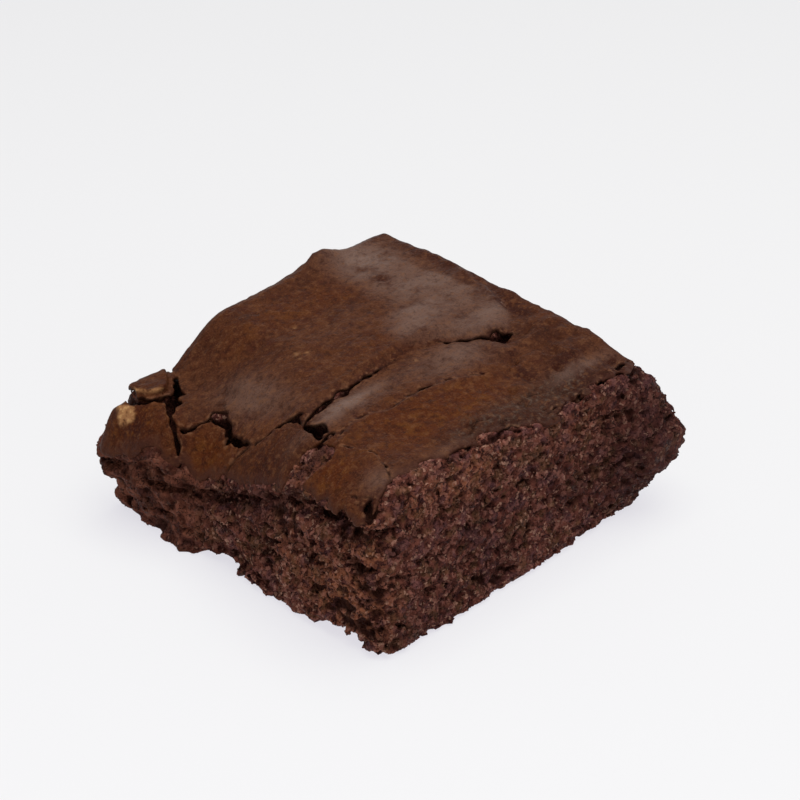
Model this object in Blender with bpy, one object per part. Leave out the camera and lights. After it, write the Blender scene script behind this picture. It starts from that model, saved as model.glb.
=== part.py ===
"""Espresso brownie: one square piece cut from a tray, dense moist crumb under a thin cracked crust.

The piece is one solid. It stands on its flat base with its origin at the bottom centre of its box. Two cut
faces meet at the near corner (-X, -Y). Along -X the crust has slumped down over the side and broken into
plates. Lengths below are in millimetres, and the finished mesh is scaled to metres.
"""
import bmesh
import bpy
import numpy as np
from mathutils import Vector, noise

NAME = "brownie"
MM = 0.001

# The block, as cut: where its four sides stand at the floor, and the height of its crust.
WEST, EAST = -33.8, 35.3
SOUTH, NORTH = -33.6, 35.3
CREST = 32.8
GRID_CUTS = 109
SOLID_TRIANGLES = 11400

# The slump along the -X side. At each station along Y: the crust's height at that side, and where it leaves
# the flat top.
SLUMP_STATIONS = [-31, -13, -8, 0, 7, 14]
SLUMP_RIM = [28, 27, 24, 20.5, 17.5, 15]
SLUMP_START = [-22, -20, -18, -13, -9, -5]
SLUMP_CURVE, SLUMP_REACH = 2.3, 1.6

# The far end of that side is a shelf, where the crust has dropped but stays nearly level before it
# turns down.
SHELF_DROP = 7.6
SHELF_START, SHELF_END = -7.5, -23.0
SHELF_EDGE = -30.5
SHELF_TURN = 0.13
SHELF_FROM, SHELF_FULL = 14.0, 24.0

# Soft forms of the top: the right corner sinks, the near rim droops, one blister stands at the far rim.
# The first two each start at a place and are full after so many more millimetres.
EAST_CORNER_SINK = 1.0
EAST_CORNER_FROM, EAST_CORNER_OVER = 57, 11
SOUTH_DROOP = 1.4
DROOP_SOUTH_FROM, DROOP_SOUTH_OVER = -20, 12
DROOP_EAST_FROM, DROOP_EAST_OVER = -5, 15
BLISTER = (17.2, 36.5, 4.2, 3.0)
SWELL, SWELL_SIZE = 0.45, 17.0

# Cracks in the crust, each as depth and a route of (x, y, width). The spread is how much of a crack's
# width is steep.
CRACK_SPREAD = 0.62
CRACKS = {
    "main": (1.5, [(-24.1, -4.2, 1.6), (-18.8, -3.4, 1.4), (-12.5, -3.4, 1.5), (-4.6, -2.4, 1.3),
                   (2.7, -0.8, 0.9)]),
    "lobe_end": (1.7, [(10.9, -3.7, 0.9), (15.1, -6.8, 1.3), (20.1, -10.0, 1.8), (23.8, -11.0, 2.2),
                       (26.9, -8.4, 1.8), (30.1, -5.3, 1.6), (31.2, -1.6, 1.4), (33.8, 5.3, 1.1)]),
    "near": (0.9, [(-24.6, -12.9, 1.0), (-16.7, -11.8, 1.0), (-10.4, -13.2, 1.1), (0.1, -13.7, 0.9),
                   (7.7, -16.3, 0.7)]),
    "front": (1.1, [(-23.6, -22.6, 1.0), (-25.7, -26.6, 1.3), (-28.3, -30.0, 1.6)]),
    "far": (4.0, [(-21.6, 34.0, 1.4), (-23.8, 30.4, 2.1), (-26.4, 27.8, 2.6), (-28.5, 26.0, 3.6),
                  (-30.4, 23.9, 2.7), (-32.0, 22.0, 2.0), (-33.8, 21.0, 1.2)]),
    "far_side": (2.4, [(-31.4, 21.4, 1.6), (-29.0, 19.0, 1.1), (-26.6, 17.6, 1.2)]),
    "hole_north": (4.6, [(-26.2, 17.2, 1.6), (-25.7, 14.4, 2.4), (-27.0, 11.4, 2.6), (-28.0, 8.6, 2.6),
                         (-27.4, 3.0, 1.2)]),
    "between_plates": (1.6, [(-27.9, 5.0, 1.2), (-30.2, 6.9, 1.3), (-33.0, 7.6, 1.4)]),
    "step": (1.6, [(-27.4, 3.0, 1.3), (-25.0, 1.8, 1.3), (-21.8, -0.4, 1.6), (-18.0, 0.2, 0.8)]),
    "hole_south": (4.2, [(-22.3, -0.6, 1.8), (-23.0, -4.4, 2.4), (-22.6, -7.0, 3.4), (-24.4, -9.6, 1.4)]),
    "flake_gap": (2.8, [(-33.4, 38.2, 3.2), (-32.5, 35.6, 2.6), (-31.4, 32.6, 2.0), (-30.2, 30.4, 1.8),
                        (-28.9, 28.2, 1.6)]),
}

# Broken plates of crust, each as how far it stands up, how much it rises across X and Y, and its outline.
PLATES = {
    "orange": (0.6, 0.10, -0.02, [(-33.5, 19.6), (-31.0, 20.0), (-28.6, 18.6), (-26.9, 16.8), (-27.0, 12.6),
                                  (-28.4, 9.4), (-30.2, 7.4), (-34.0, 8.0)]),
    "middle": (0.5, 0.06, 0.03, [(-34.5, 6.6), (-30.8, 6.2), (-28.6, 3.6), (-25.4, 1.6), (-24.0, -5.0),
                                 (-25.4, -9.0), (-29.6, -7.8), (-34.5, -7.0)]),
    "near": (0.4, 0.02, 0.0, [(-34.5, -11.5), (-29.5, -11.2), (-24.4, -13.4), (-22.6, -20.2), (-24.2, -25.6),
                              (-28.0, -29.6), (-34.5, -31.0)]),
    "corner": (0.5, -0.04, 0.05, [(-40.0, 37.0), (-34.5, 36.0), (-31.2, 31.0), (-30.6, 26.0), (-32.6, 22.6),
                                  (-40.0, 20.0)]),
    "chip": (0.6, 0.0, 0.0, [(-34.9, 33.4), (-33.4, 31.6), (-34.8, 30.0), (-36.2, 31.8)]),
    "flake": (1.3, 0.0, -0.1, [(-31.0, 35.6), (-25.0, 37.0), (-23.4, 33.6), (-26.4, 30.4), (-30.0, 30.6)]),
}
PLATE_EDGE = 0.9

# The large lobe of crust behind the two long cracks stands above the strip in front of it.
LOBE = [(-24.5, -3.6), (-12.5, -2.8), (2.7, -0.4), (10.9, -3.2), (20.1, -9.4), (23.8, -10.2), (29.8, -5.0),
        (30.8, -1.2), (33.4, 5.4), (35.5, 14.0), (35.5, 35.0), (-19.0, 35.0), (-22.0, 28.0), (-22.0, 4.0)]
LOBE_LIFT, LOBE_EDGE = 0.7, 2.5

# The torn patch where the crust is missing, between the middle and near plates.
TORN_PATCH = [(-36.0, -8.6), (-32.4, -8.4), (-29.6, -9.4), (-27.6, -9.0), (-25.4, -10.4), (-24.8, -14.8),
              (-27.8, -15.4), (-29.8, -13.6), (-33.6, -13.0), (-36.0, -13.4)]
TORN_DEPTH = 1.0

# How far each side leans, bulges or is worn, as outward millimetres from the block as cut.
WEST_BULGE_AT, WEST_BULGE = [12, 17.6, 20, 27, 35], [0, 1.0, 3.0, 5.1, 6.3]
NORTH_BULGE_AT, NORTH_BULGE = [-33, -26, -18, -8], [2.8, 1.8, 0.6, 0]
BULGE_RISE = 0.7
CORNER_POST_LEVELS = [0, 0.1, 0.2, 0.28, 0.36, 0.42, 0.52, 0.56, 0.61, 0.7, 0.77, 0.82, 0.87, 0.92, 1.0]
CORNER_POST = [0.2, 1.0, 2.9, 4.3, 5.9, 6.5, 6.7, 6.4, 5.5, 4.3, 3.7, 3.1, 2.2, 1.2, -0.6]
EAST_POST_REACH, SOUTH_POST_REACH = 14.0, 8.0
SOUTH_LEAN_AT, SOUTH_LEAN, LEAN_CURVE = [-33, -4, 6, 35], [2.4, 2.2, 1.0, 0.8], 1.5
BASE_ROUNDING, BASE_ROUNDING_HEIGHT = 0.5, 0.05
POST_ROUNDING, POST_REACH = 1.1, 2.8
NEAR_POST_ROUNDING, NEAR_POST_FADE = 1.8, 0.3

# Wear along the base: where a run of the edge is drawn in, as from, to, and how far. Each run is full after
# WEAR_START and fades over WEAR_END.
WEST_BASE_WEAR = [(3.5, 13.0, 4.4), (14.0, 25.0, -4.0), (-28.5, -16.5, 4.8), (-16.0, -11.0, 0.6)]
SOUTH_BASE_WEAR = [(16.0, 33.5, 0.7), (-18.0, -15.0, -0.8)]
WEAR_START, WEAR_END = 1.2, 2.5
BASE_WEAR_HEIGHT = 0.13

# The gap below the crust's edge along -X, and the crags of each torn or cut side.
CRUST_LIP_LEVELS = (0.76, 0.87, 0.95)
CRUST_LIP_DEPTH = 1.9
WEST_CRAGS, SOUTH_CRAGS, FAR_CRAGS = 1.15, 0.6, 0.7
CRAG_SIZES = ((7.0, 0.6), (3.4, 0.55), (1.9, 0.4))

# Hollows, as (place along the side, height, half length, half height, depth).
WEST_HOLLOWS = [(-20.0, 24.9, 5.2, 1.2, 3.2), (-28.6, 26.2, 3.6, 1.1, 3.0),
                (-27.2, 18.3, 5.4, 1.4, 3.2), (-14, 14.5, 3.0, 1.3, 1.8),
                (5.0, 3.4, 5.0, 1.7, 1.6), (33.5, 5.6, 4.5, 2.2, 1.8), (12, 8.5, 2.4, 1.2, 1.3),
                (-6, 10, 2.8, 1.1, 1.5), (22, 6.0, 2.8, 1.0, 1.4), (-4, 21.5, 3.0, 1.0, 1.8)]
SOUTH_HOLLOWS = [(28.8, 15.0, 1.4, 1.3, 2.0), (24.0, 22.1, 1.2, 1.2, 1.8), (-12.5, 10.6, 2.0, 1.1, 2.2),
                 (-20.9, 16.3, 1.2, 0.9, 1.7), (-26.4, 15.0, 2.4, 0.8, 1.4), (-16.7, 23.4, 2.2, 0.8, 1.6),
                 (-21.1, 9.3, 1.5, 1.2, 2.0), (-23.4, 22.0, 1.2, 1.0, 1.6), (-5, 19, 1.5, 1.0, 1.6),
                 (-14, 4.5, 2.2, 1.0, 1.6), (16, 10, 2.2, 1.0, 1.7), (29, 9, 1.2, 0.9, 1.4),
                 (9, 14, 1.4, 0.9, 1.5), (20, 15, 1.4, 0.9, 1.4), (2, 7, 1.5, 0.8, 1.3)]

# On the cube from -1 to 1 that the block is shaped from: where its sides begin, how near the rim the crags
# fade, and how far in from a side that side's form reaches.
ON_SIDE, WALL_EDGE, SIDE_SHARE = 0.999, 0.03, 0.22

CRUST_COLOUR = (0.078, 0.032, 0.016, 1.0)
CRUST_ROUGHNESS = 0.62


def smooth(t):
    """Eases from 0 to 1 as t goes from 0 to 1."""
    t = np.clip(t, 0.0, 1.0)
    return t * t * (3 - 2 * t)


def route_distance(route, x, y):
    """Distance from each point to a route, and the route's width where it is nearest."""
    nearest = np.full(x.shape, np.inf)
    width = np.zeros(x.shape)
    for (x0, y0, w0), (x1, y1, w1) in zip(route, route[1:]):
        dx, dy = x1 - x0, y1 - y0
        t = np.clip(((x - x0) * dx + (y - y0) * dy) / (dx * dx + dy * dy), 0, 1)
        distance = np.hypot(x - x0 - t * dx, y - y0 - t * dy)
        closer = distance < nearest
        nearest = np.where(closer, distance, nearest)
        width = np.where(closer, w0 + t * (w1 - w0), width)
    return nearest, width


def depth_inside(outline, x, y):
    """How far each point lies inside a closed outline; 0 outside it."""
    route = [(px, py, 0.0) for px, py in outline + outline[:1]]
    edge, _ = route_distance(route, x, y)
    inside = np.zeros(x.shape, bool)
    for (x0, y0, _), (x1, y1, _) in zip(route, route[1:]):
        crosses = (y0 > y) != (y1 > y)
        if y1 != y0:
            inside ^= crosses & (x < x0 + (x1 - x0) * (y - y0) / (y1 - y0))
    return np.where(inside, edge, 0.0)


def crags(points, size):
    """Coherent noise between about -1 and 1, with bumps of the given size."""
    return np.array([noise.noise(Vector(point / size)) for point in points])


def settled_top(x, y):
    """Height of the crust before it cracked: a flat top that slumps down along -X."""
    rim = np.interp(y, SLUMP_STATIONS, SLUMP_RIM)
    start = np.interp(y, SLUMP_STATIONS, SLUMP_START)
    along = np.clip((start - x) / (start - WEST), 0, SLUMP_REACH)
    slump = (CREST - rim) * along ** SLUMP_CURVE
    shelf = SHELF_DROP * smooth((SHELF_START - x) / (SHELF_START - SHELF_END))
    shelf = shelf + SHELF_TURN * np.clip(SHELF_EDGE - x, 0, None) ** 2
    near_shelf = smooth((y - SHELF_FROM) / (SHELF_FULL - SHELF_FROM))
    height = CREST - slump * (1 - near_shelf) - shelf * near_shelf
    height = height - EAST_CORNER_SINK * smooth((x - y - EAST_CORNER_FROM) / EAST_CORNER_OVER)
    droop = smooth((DROOP_SOUTH_FROM - y) / DROOP_SOUTH_OVER)
    droop = droop * smooth((x - DROOP_EAST_FROM) / DROOP_EAST_OVER)
    height = height - SOUTH_DROOP * droop
    blister_x, blister_y, reach, rise = BLISTER
    return height + rise * np.exp(-((x - blister_x) ** 2 + (y - blister_y) ** 2) / reach**2)


def crust_height(x, y):
    """Height of the finished crust, with its lobe, plates, torn patch and cracks."""
    flat = np.stack([x, y, np.zeros_like(x)], 1)
    height = settled_top(x, y) + SWELL * crags(flat, SWELL_SIZE)
    height = height + LOBE_LIFT * smooth(depth_inside(LOBE, x, y) / LOBE_EDGE)
    for lift, rise_x, rise_y, outline in PLATES.values():
        centre_x, centre_y = np.mean(outline, axis=0)
        raised = lift + rise_x * (x - centre_x) + rise_y * (y - centre_y)
        height = height + raised * smooth(depth_inside(outline, x, y) / PLATE_EDGE)
    height = height - TORN_DEPTH * smooth(depth_inside(TORN_PATCH, x, y) / PLATE_EDGE)
    for depth, route in CRACKS.values():
        distance, width = route_distance(route, x, y)
        height = height - depth * np.exp(-((distance / (CRACK_SPREAD * width)) ** 2))
    return height


def hollow_depth(hollows, along, z):
    """How deep the side is hollowed at each place along it."""
    depth = np.zeros(along.shape)
    for centre, height, half_length, half_height, deep in hollows:
        away = ((along - centre) / half_length) ** 2 + ((z - height) / half_height) ** 2
        depth = np.maximum(depth, deep * np.exp(-(away**2)))
    return depth


def base_wear(runs, along, level):
    """How far worn runs of the base edge are drawn in."""
    drawn_in = np.zeros(along.shape)
    for start, end, depth in runs:
        run = smooth((along - start) / WEAR_START) * smooth((end - along) / WEAR_END)
        drawn_in = drawn_in + depth * run
    return drawn_in * (1 - smooth(level / BASE_WEAR_HEIGHT))


def side_offsets(x, y, level):
    """Outward offset of the four sides, at a level from 0 at the floor to 1 at the rim."""
    rounding = BASE_ROUNDING * (1 - smooth(level / BASE_ROUNDING_HEIGHT)) ** 2
    post = np.interp(level, CORNER_POST_LEVELS, CORNER_POST)
    east_reach = np.where(post > 0, EAST_POST_REACH, SOUTH_POST_REACH)
    post_on_east = post * np.exp(-(((y - SOUTH) / east_reach) ** 2))
    post_on_south = post * np.exp(-(((EAST - x) / SOUTH_POST_REACH) ** 2))
    lip_low, lip_middle, lip_high = CRUST_LIP_LEVELS
    lip = smooth((level - lip_low) / (lip_middle - lip_low))
    lip = lip * smooth((lip_high - level) / (lip_high - lip_middle))

    west = np.interp(y, WEST_BULGE_AT, WEST_BULGE) * level**BULGE_RISE
    west = west - CRUST_LIP_DEPTH * lip - base_wear(WEST_BASE_WEAR, y, level) - rounding
    south = -np.interp(x, SOUTH_LEAN_AT, SOUTH_LEAN) * level**LEAN_CURVE
    south = south + post_on_south - base_wear(SOUTH_BASE_WEAR, x, level) - rounding
    north = np.interp(x, NORTH_BULGE_AT, NORTH_BULGE) * np.sin(np.pi * level) - rounding
    east = post_on_east - rounding
    return west, east, south, north


def near_side(along):
    """1 on a side of the unit cube, fading to 0 within a share of the way to its middle."""
    return np.clip((along - 1 + SIDE_SHARE) / SIDE_SHARE, 0, 1) ** 2


def rounded_post(a, b, level):
    """How far an upright corner is drawn in, by how near a point is to it on both ways."""
    to_x, to_y = (1 - np.abs(a)) * (EAST - WEST) / 2, (1 - np.abs(b)) * (NORTH - SOUTH) / 2
    near_post = NEAR_POST_ROUNDING - NEAR_POST_FADE * level
    drawn_in = np.where((a < 0) & (b < 0), near_post, POST_ROUNDING)
    return drawn_in * np.exp(-(to_x + to_y) / POST_REACH)


def shape_block(cube):
    """Moves the points of a cube from -1 to 1 onto the brownie's surface."""
    a, b, c = cube.T
    level = (c + 1) / 2
    x = WEST + (EAST - WEST) * (a + 1) / 2
    y = SOUTH + (NORTH - SOUTH) * (b + 1) / 2
    to_west, to_east, to_south, to_north = near_side(-a), near_side(a), near_side(-b), near_side(b)

    def place(at_level):
        west, east, south, north = side_offsets(x, y, at_level)
        return x - to_west * west + to_east * east, y - to_south * south + to_north * north

    rim_x, rim_y = place(np.ones_like(level))
    z = level * crust_height(rim_x, rim_y)
    x, y = place(level)

    around = np.stack([x, y, z], 1)
    rough = sum(weight * crags(around, size) for size, weight in CRAG_SIZES)
    torn = WEST_CRAGS * rough - hollow_depth(WEST_HOLLOWS, y, z)
    cut = SOUTH_CRAGS * rough - hollow_depth(SOUTH_HOLLOWS, x, z)
    on_wall = smooth((1 - level) / WALL_EDGE)
    rounding = rounded_post(a, b, level)
    outward_x = np.where(a < 0, -(on_wall * torn - rounding), on_wall * FAR_CRAGS * rough - rounding)
    outward_y = np.where(b < 0, -(on_wall * cut - rounding), on_wall * FAR_CRAGS * rough - rounding)
    x = x + np.where(np.abs(a) > ON_SIDE, outward_x, 0)
    y = y + np.where(np.abs(b) > ON_SIDE, outward_y, 0)
    return np.stack([x, y, z], 1)


def make_material():
    """Baked chocolate crust: dark warm brown, satin."""
    material = bpy.data.materials.new("baked chocolate crust")
    material.use_nodes = True
    shader = material.node_tree.nodes["Principled BSDF"]
    shader.inputs["Base Color"].default_value = CRUST_COLOUR
    shader.inputs["Roughness"].default_value = CRUST_ROUGHNESS
    shader.inputs["Metallic"].default_value = 0.0
    return material


def make_brownie():
    """One closed solid: a finely divided cube shaped into the brownie, then thinned to fewer faces."""
    body = bmesh.new()
    bmesh.ops.create_cube(body, size=2.0)
    bmesh.ops.subdivide_edges(body, edges=body.edges, cuts=GRID_CUTS, use_grid_fill=True)
    mesh = bpy.data.meshes.new(NAME)
    body.to_mesh(mesh)
    body.free()

    cube = np.empty(len(mesh.vertices) * 3)
    mesh.vertices.foreach_get("co", cube)
    points = shape_block(cube.reshape(-1, 3))
    points[:, :2] -= (points[:, :2].min(axis=0) + points[:, :2].max(axis=0)) / 2
    mesh.vertices.foreach_set("co", (points * MM).ravel())
    mesh.update()

    brownie = bpy.data.objects.new(NAME, mesh)
    mesh.materials.append(make_material())
    thin = brownie.modifiers.new("thin", "DECIMATE")
    thin.ratio = SOLID_TRIANGLES / (2 * len(mesh.polygons))
    thin.use_collapse_triangulate = True
    return brownie


for old in list(bpy.data.objects):
    bpy.data.objects.remove(old, do_unlink=True)
collection = bpy.data.collections.new(NAME)
bpy.context.scene.collection.children.link(collection)
collection.objects.link(make_brownie())
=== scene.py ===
"""Espresso brownie, dressed: porous cut crumb, a thin cracked crust over it, torn flakes and loose crumbs.

Shapes are worked out in millimetres on a grid of points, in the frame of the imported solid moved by
PLAN_SHIFT, and each piece's mesh is scaled to metres as it is made.
"""

import bpy
import numpy as np
import openvdb
from math import radians
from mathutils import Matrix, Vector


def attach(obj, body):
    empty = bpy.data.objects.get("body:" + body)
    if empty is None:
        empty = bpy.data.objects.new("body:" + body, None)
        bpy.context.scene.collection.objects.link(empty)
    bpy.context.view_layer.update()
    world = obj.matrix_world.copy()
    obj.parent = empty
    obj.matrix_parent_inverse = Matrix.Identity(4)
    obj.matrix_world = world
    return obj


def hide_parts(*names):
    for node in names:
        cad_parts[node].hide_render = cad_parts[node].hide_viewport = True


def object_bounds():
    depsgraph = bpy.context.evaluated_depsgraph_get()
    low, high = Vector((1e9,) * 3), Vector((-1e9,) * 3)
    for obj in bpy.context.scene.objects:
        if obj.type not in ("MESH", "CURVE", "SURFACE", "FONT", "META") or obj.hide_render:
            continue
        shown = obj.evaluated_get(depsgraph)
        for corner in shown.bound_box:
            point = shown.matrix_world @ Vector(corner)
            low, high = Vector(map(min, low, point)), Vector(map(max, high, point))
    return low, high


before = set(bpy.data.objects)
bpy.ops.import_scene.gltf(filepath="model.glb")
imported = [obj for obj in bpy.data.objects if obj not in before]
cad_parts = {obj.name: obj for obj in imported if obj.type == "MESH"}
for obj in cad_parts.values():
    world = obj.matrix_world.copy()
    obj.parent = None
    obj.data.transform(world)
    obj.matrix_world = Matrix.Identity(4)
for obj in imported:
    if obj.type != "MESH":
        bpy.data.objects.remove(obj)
cad_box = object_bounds()

# The camera: a long lens, looking down at the near corner from the photograph's distance and height.
CAMERA_AT = (-0.25809, -0.25915, 0.25436)
CAMERA_AZIMUTH, CAMERA_ELEVATION = -45.2, 32.2
CAMERA_LENS = 105.57


def new_object(name, data):
    """A new object in the scene."""
    made = bpy.data.objects.new(name, data)
    bpy.context.scene.collection.objects.link(made)
    return made


camera = new_object("camera", bpy.data.cameras.new("camera"))
camera.location = CAMERA_AT
camera.rotation_euler = (radians(90 - CAMERA_ELEVATION), 0, radians(CAMERA_AZIMUTH))
camera.data.lens = CAMERA_LENS
camera.data.clip_start = 0.01
bpy.context.scene.camera = camera

# The form that crumb and crust share. Chocolate batter sets a thin skin as it bakes; this one lies flat over
# most of the top, slumps down over the -X side, and has broken there into plates at different heights.
MM = 0.001
PLAN_SHIFT = np.array([1.123, -0.743, 0.0])
WEST, EAST = -33.8, 35.3
SOUTH, NORTH = -33.6, 35.3
CREST = 32.8
STEP = 0.30
X_AXIS = np.arange(-40.6, 42.4, STEP)
Y_AXIS = np.arange(-40.2, 38.7, STEP)
Z_AXIS = np.arange(-1.05, 37.0, STEP)
LATTICE_SPAN = 84.0
PLAN, SPACE = (X_AXIS, Y_AXIS), (X_AXIS, Y_AXIS, Z_AXIS)

SLUMP_STATIONS = [-31, -13, -8, 0, 7, 14]
SLUMP_RIM = [28, 27, 24, 20.5, 17.5, 15]
SLUMP_START = [-22, -20, -18, -13, -9, -5]
SLUMP_CURVE, SLUMP_REACH = 2.3, 1.6
SHELF_DROP, SHELF_START, SHELF_END = 7.6, -7.5, -23.0
SHELF_EDGE, SHELF_TURN = -30.5, 0.13
SHELF_FROM, SHELF_FULL = 14.0, 24.0
EAST_CORNER_SINK, EAST_CORNER_FROM, EAST_CORNER_REACH = 1.0, 57, 11
SOUTH_DROOP, SOUTH_DROOP_FROM, SOUTH_DROOP_REACH = 1.4, (-5, -20), (15, 12)
BLISTER = (17.2, 36.5, 4.2, 3.0)
SETTLED_SWELL, SETTLED_SWELL_SIZE = 0.3, 15.0
WRINKLED_MIDDLE, WRINKLED_HALF_LENGTH, WRINKLED_END = 7, 21, 10
WRINKLED_SOUTH_OF, WRINKLED_FADE = -22.5, 5
CREASE_WIDTH, CREASE_DEPTH = 0.45, 0.5

# Plates of crust: how far each stands up, how much it rises across X and Y, and its outline.
PLATES = {
    "orange": (0.6, 0.10, -0.02, [
        (-33.5, 19.6), (-31, 20), (-28.6, 18.6), (-26.9, 16.8), (-27, 12.6), (-28.4, 9.4), (-30.2, 7.4),
        (-34, 8)]),
    "middle": (0.5, 0.06, 0.03, [
        (-34.5, 6.6), (-30.8, 6.2), (-28.6, 3.6), (-25.4, 1.6), (-24, -5), (-25.4, -9), (-29.6, -7.8),
        (-34.5, -7)]),
    "near": (0.4, 0.02, 0, [
        (-36.5, -11.5), (-29.5, -11.2), (-24.4, -13.4), (-22.6, -20.2), (-24.2, -25.6), (-28, -29.6),
        (-36.5, -31)]),
    "corner": (0.5, -0.04, -0.02, [
        (-40, 37), (-34.5, 36), (-31.2, 31), (-30.6, 26), (-32.6, 22.6), (-40, 20)]),
    "chip": (0.35, 0, 0, [(-35.1, 33.9), (-33.7, 30.7), (-35.2, 28.6), (-36.6, 31.6)]),
    "flake": (1.2, 0, -0.08, [
        (-31.7, 36.4), (-31.9, 32.4), (-30.6, 30.2), (-28.8, 29.2), (-26.6, 29.4), (-24.6, 31.6),
        (-22.6, 34.4), (-24.6, 37.4)]),
}
PLATE_EDGE = 0.5
LOBE = [
    (-24.5, -3.4), (-12.5, -2), (2.7, -0.6), (6, 0), (12.4, -2), (20.1, -7.4), (23.8, -9), (28.5, -5.5),
    (32.1, -1), (33.4, 5.4), (35.5, 14), (35.5, 35), (-19, 35), (-22, 28), (-22, 4)]
LOBE_LIFT, LOBE_EDGE = 0.6, 2.0
TORN_PATCH = [
    (-36, -8.6), (-32.4, -8.4), (-29.6, -9.4), (-27.6, -9), (-25.4, -10.4), (-24.8, -14.8), (-27.8, -15.4),
    (-29.8, -13.6), (-33.6, -13), (-36, -13.4)]

# Cracks: each as how deep it goes, and a route of (x, y, width).
CRACKS = {
    "main": (1.7, [
        (-24.1, -4.2, 0.6), (-21.7, -3.2, 0.4), (-18.8, -3, 0.5), (-15.6, -2.8, 0.45), (-11.9, -2.5, 0.6),
        (-9.6, -2.2, 0.35), (-7.4, -2, 0.3), (-3.9, -1.9, 0.3), (-0.5, -1.5, 0.15), (2.2, -1.2, 0)]),
    "lobe_end": (2.2, [
        (12, -2.6, 0.2), (12.8, -4.1, 0.6), (14.7, -5.2, 0.4), (16.8, -6.3, 0.3), (19.2, -7.3, 0.4),
        (20.7, -8.1, 0.8), (22.3, -8.8, 1.9), (24, -9.7, 1.3), (25.5, -10.4, 0.2)]),
    "near": (0.5, [
        (-22.6, -12.5, 0.3), (-21, -11.8, 0.1), (-19.3, -11.3, -0.6), (-17.4, -11, -0.3),
        (-16.5, -10.9, 0.3), (-15, -11.3, 0.1), (-14.1, -11.6, -0.6), (-11.9, -12.9, -0.6),
        (-9.5, -12.9, 0), (-8.5, -12.6, 0.25), (-7, -12.7, -0.4), (-5.1, -12.2, 0.35), (-3.8, -12.8, 0.1),
        (-2.2, -12.5, 0.45), (0.3, -13, 0), (1.6, -13.3, -0.5), (3.3, -13.6, 0.3), (4.6, -14.2, -0.3),
        (6.1, -14.5, -0.6), (7.6, -15, 0), (8.8, -15.8, 0.5), (9.8, -16.2, 0.1)]),
    "front": (1.2, [
        (-24.6, -15, -0.2), (-24.1, -15.9, 0.35), (-23.9, -16.9, 0), (-23.2, -17.5, -0.4),
        (-23, -18.6, 0.3), (-22.4, -19.4, -0.3), (-22.9, -20.4, 0.35), (-22.5, -21.5, -0.1),
        (-23.2, -22.3, -0.4), (-23.1, -23.4, 0.4), (-24, -24.3, 0.1), (-24.1, -25.3, 0.35),
        (-25, -26, -0.2), (-25.1, -27, 0.2), (-26, -28.2, -0.2)]),
    "ledge": (0.8, [(-31.6, -24.6, 0), (-31, -26.2, 0.4), (-30.5, -27.7, 0.35), (-30.8, -28.9, 0.1)]),
    "bubble": (1.8, [(-31.3, -28.3, 1), (-31.8, -29.3, 1.6), (-32.1, -29.6, 1)]),
    "rim": (1, [
        (-24, -30.6, 0.2), (-20.6, -31.2, 0.6), (-17, -30.2, 0.1), (-12, -30.8, 0.5), (-8.4, -30.2, 0.1),
        (-4.6, -31.4, 0.6), (-1, -30.4, 0.1), (2, -31.2, 0.5), (5, -32.2, 0)]),
    "rim_east": (0.8, [
        (10, -31.4, 0), (13, -30.8, 0.35), (14.6, -31.6, -0.5), (16.8, -31.9, 0.3), (19, -31.2, 0.5),
        (20.6, -30.6, -0.5), (23.5, -31.8, -0.4), (25.2, -31, 0.3), (27.2, -30.4, 0.7), (28.6, -30.9, -0.4),
        (30.2, -30.6, 0.35), (32.2, -30.1, 0.3), (34.6, -29.6, 0)]),
    "torn_hole": (2.2, [(-25.4, -10.7, 0.5), (-23.9, -10.9, 1.2), (-22.8, -11.2, 0.6)]),
    "far": (4.5, [
        (-21.2, 34.8, 0.3), (-21.9, 33.5, 0.6), (-23, 30.8, 0.8), (-24.7, 28.6, 1.4), (-27.2, 26.2, 2.2),
        (-29.6, 24.9, 2.6), (-31.2, 23.4, 2.3), (-31.7, 22.2, 2), (-32, 21.4, 1.7), (-32.5, 20.4, 1.6),
        (-33, 19.6, 1), (-33.4, 18.9, 0.2)]),
    "far_side": (3, [(-31.4, 21.4, 0.8), (-31.2, 19.8, 0.7), (-28.8, 18.7, 0.4), (-26.6, 17.6, 0.4)]),
    "hole_north": (5.5, [
        (-26.2, 17.2, 0.6), (-25.5, 15.4, 1.5), (-26.2, 13, 1.7), (-27.2, 11, 1.7), (-28, 8.9, 1.8),
        (-27.8, 6, 0.8), (-27.4, 3, 0.5)]),
    "between_plates": (2, [(-27.9, 5, 0.5), (-30.2, 6.9, 0.2), (-32.6, 7.6, 0)]),
    "step": (2.4, [(-27.4, 3, 0.5), (-25, 1.8, 0.7), (-22.8, -0.2, 0.9), (-21.4, -1.4, 0.5)]),
    "hole_south": (5.5, [(-22.6, -0.9, 0.8), (-23.3, -4.4, 1.5), (-22.7, -7, 2.6), (-24.6, -9.7, 0.8)]),
    "flake_gap": (3.8, [
        (-32.2, 38.4, 2.8), (-32.3, 35.8, 1.9), (-32.6, 33.2, 1.2), (-32.9, 31.6, 1), (-31.4, 29.2, 1),
        (-29.2, 28.2, 1.2), (-27.2, 27.4, 1.4)]),
}
CRACK_RAG, CRACK_RAG_SIZES = 0.28, (1.7, 0.9)

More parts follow.
